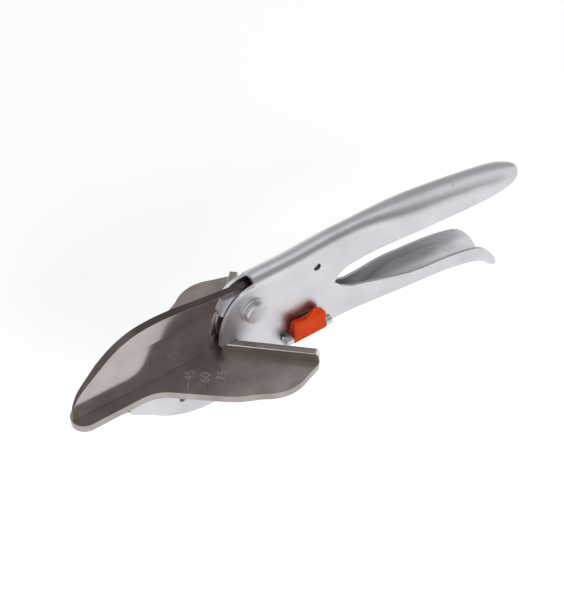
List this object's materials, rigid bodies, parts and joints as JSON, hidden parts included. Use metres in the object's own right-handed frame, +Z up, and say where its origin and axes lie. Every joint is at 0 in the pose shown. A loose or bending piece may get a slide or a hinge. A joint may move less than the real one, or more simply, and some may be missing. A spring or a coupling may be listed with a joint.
{
  "type": "mitre shear",
  "caption": "Hand shear with a straight blade closing on a flat anvil with two 45 degree wing stops, sheet steel handles and a side catch",
  "frame": {"origin": "middle of the bounding box in X and Y, at the height of the lowest point of the lower handle", "axes": "+X runs back to the handle ends, +Y to the side away from the catch, +Z up, square to the anvil face"},
  "size_m": [0.213, 0.067, 0.0625],
  "materials": {
    "upper_handle": "pressed steel sheet, bright plated",
    "anvil": "dark oiled steel, fine ground",
    "front_anvil_pin": "plain steel",
    "rear_anvil_pin": "plain steel",
    "pivot_bolt": "bright plated",
    "near_washer": "bright plated",
    "far_washer": "bright plated",
    "pivot_nut": "bright plated",
    "lower_handle": "pressed steel sheet, bright plated",
    "blade": "hardened tool steel, dark, ground bevel",
    "pivot_bush": "plain steel",
    "front_blade_rivet": "plain steel",
    "rear_blade_rivet": "plain steel",
    "opening_spring": "spring wire",
    "spring_cap": "plain steel",
    "spring_seat": "plain steel",
    "catch_lever": "orange moulded nylon",
    "catch_tongue": "plain steel",
    "catch_pin": "bright steel wire"
  },
  "bodies": {
    "lever_body": {"lower_handle": "lower_handle", "blade": "blade", "pivot_bush": "pivot_bush", "front_blade_rivet": "front_blade_rivet", "rear_blade_rivet": "rear_blade_rivet", "spring_seat": "spring_seat"},
    "upper_body": {"upper_handle": "upper_handle", "anvil": "anvil", "front_anvil_pin": "front_anvil_pin", "rear_anvil_pin": "rear_anvil_pin", "pivot_bolt": "pivot_bolt", "near_washer": "near_washer", "far_washer": "far_washer", "pivot_nut": "pivot_nut", "spring_cap": "spring_cap", "opening_spring": "opening_spring", "catch_pin": "catch_pin"},
    "catch": {"catch_lever": "catch_lever", "catch_tongue": "catch_tongue"}
  },
  "joints": [
    {"name": "blade_pivot", "type": "hinge", "parent": "lever_body", "child": "upper_body", "pos_m": [-0.0305, 0, 0.0468], "axis": [0, -1, 0], "range_deg": [0, 28], "deforming": ["opening_spring"]},
    {"name": "catch_hinge", "type": "hinge", "parent": "upper_body", "child": "catch", "pos_m": [-0.0071, -0.0071, 0.0245], "axis": [-1, 0, 0], "range_deg": [0, 9]}
  ]
}
